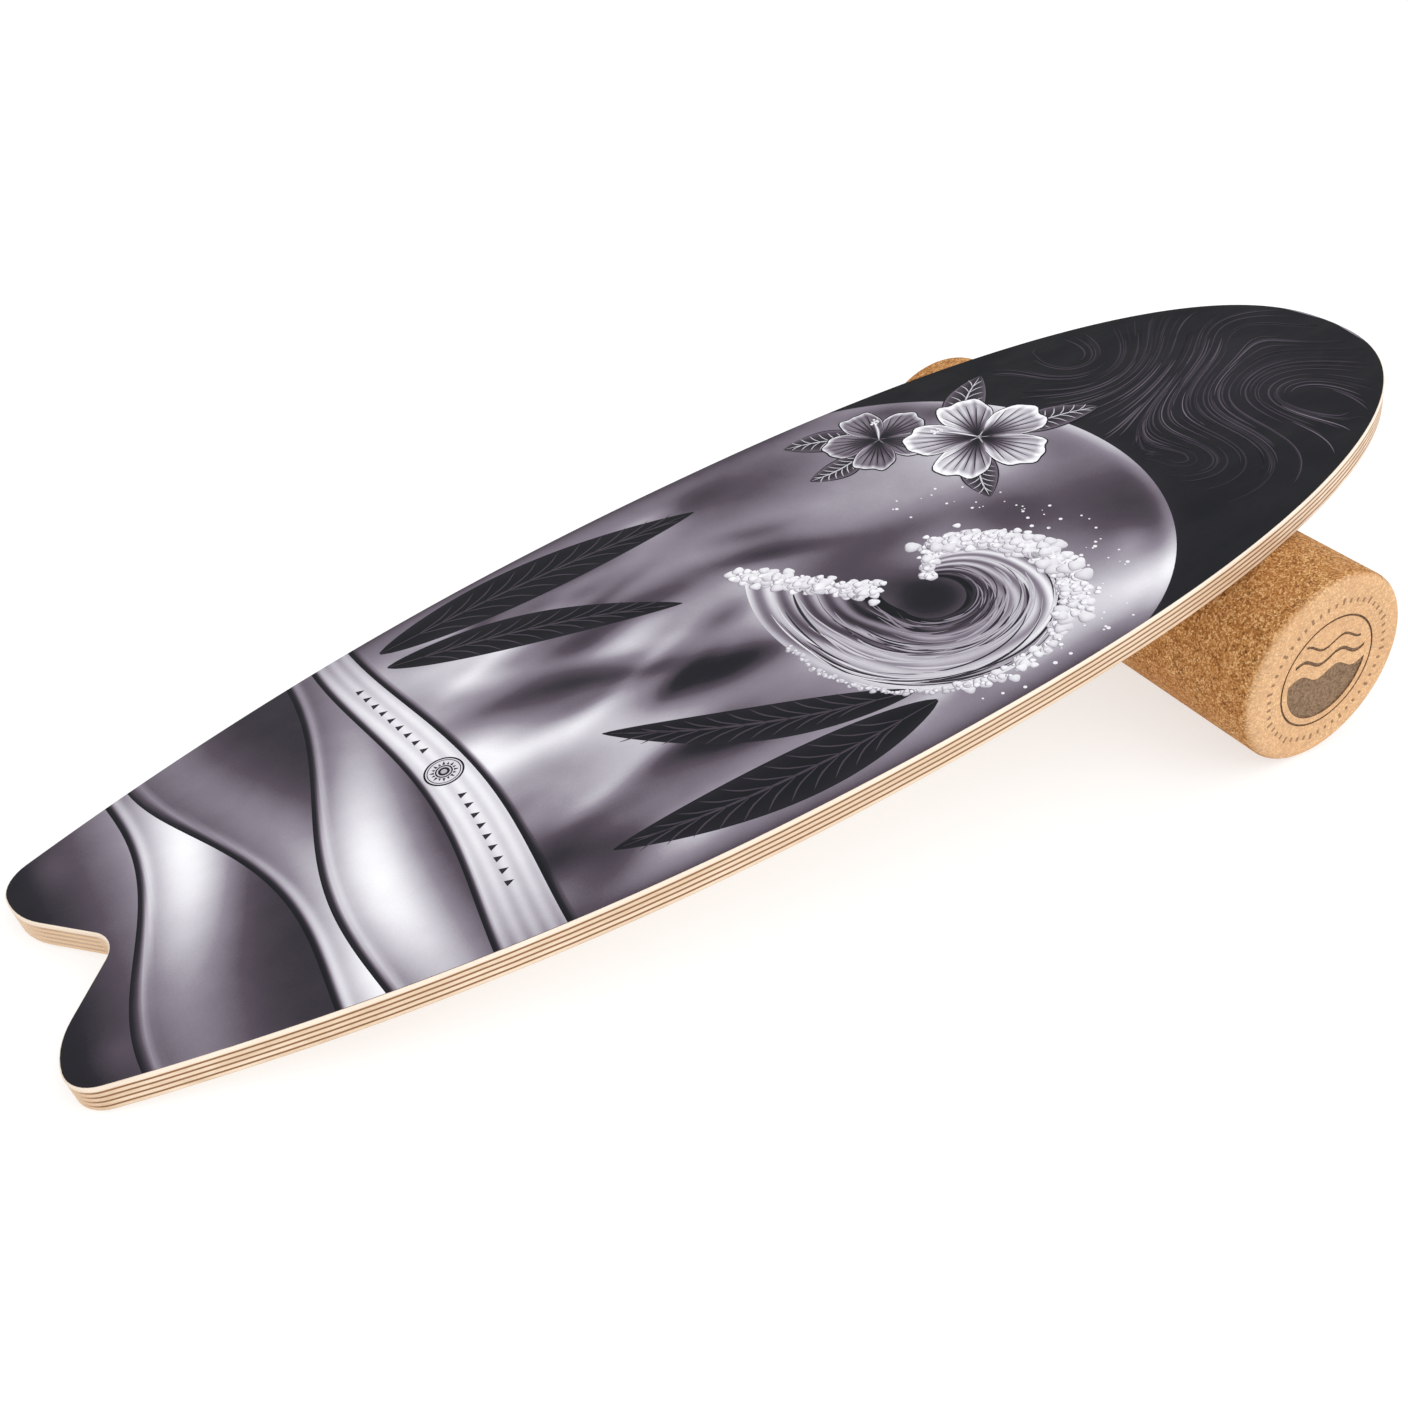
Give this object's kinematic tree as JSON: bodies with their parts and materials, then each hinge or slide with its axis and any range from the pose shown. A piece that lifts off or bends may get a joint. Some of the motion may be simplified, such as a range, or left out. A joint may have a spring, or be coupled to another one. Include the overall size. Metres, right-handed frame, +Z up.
{
  "type": "balance board",
  "caption": "Fish-tailed plywood balance board with a printed top, lying tail-down on a cork roller that rolls under it between two stops.",
  "frame": {"origin": "on the floor, under the middle of the whole object's bounding box", "axes": "+X towards the nose, +Y towards the deck's left side and along the roller, +Z up from the floor"},
  "size_m": [0.7746, 0.33, 0.1559],
  "materials": {
    "print": "satin",
    "birch_long": "satin",
    "birch_cross": "satin",
    "beech": "satin",
    "zinc_steel": "satin",
    "cork": "matte",
    "dowel": "matte"
  },
  "bodies": {
    "core": {"roller_core": "dowel"},
    "roller": {"cork_roller": "cork"},
    "deck": {"printed_film": "print", "ply_1": "birch_long", "ply_2": "birch_cross", "ply_3": "birch_long", "ply_4": "birch_cross", "ply_5": "birch_long", "ply_6": "birch_cross", "ply_7": "birch_long", "ply_8": "birch_cross", "ply_9": "birch_long", "nose_stop": "beech", "nose_stop_screws": "zinc_steel", "tail_stop": "beech", "tail_stop_screws": "zinc_steel"}
  },
  "joints": [
    {"name": "deck_travel", "type": "slide", "parent": "core", "child": "deck", "axis": [0.9836, 0, 0.1801], "range_m": [0, 0.431]},
    {"name": "roller_spin", "type": "hinge", "parent": "core", "child": "roller", "pos_m": [0.22326, 0, 0.055], "axis": [0, 1, 0], "range_deg": [0, 450]}
  ],
  "couplings": [
    {"joint": "roller_spin", "follows": "deck_travel", "rad_per_m": 18.182}
  ]
}
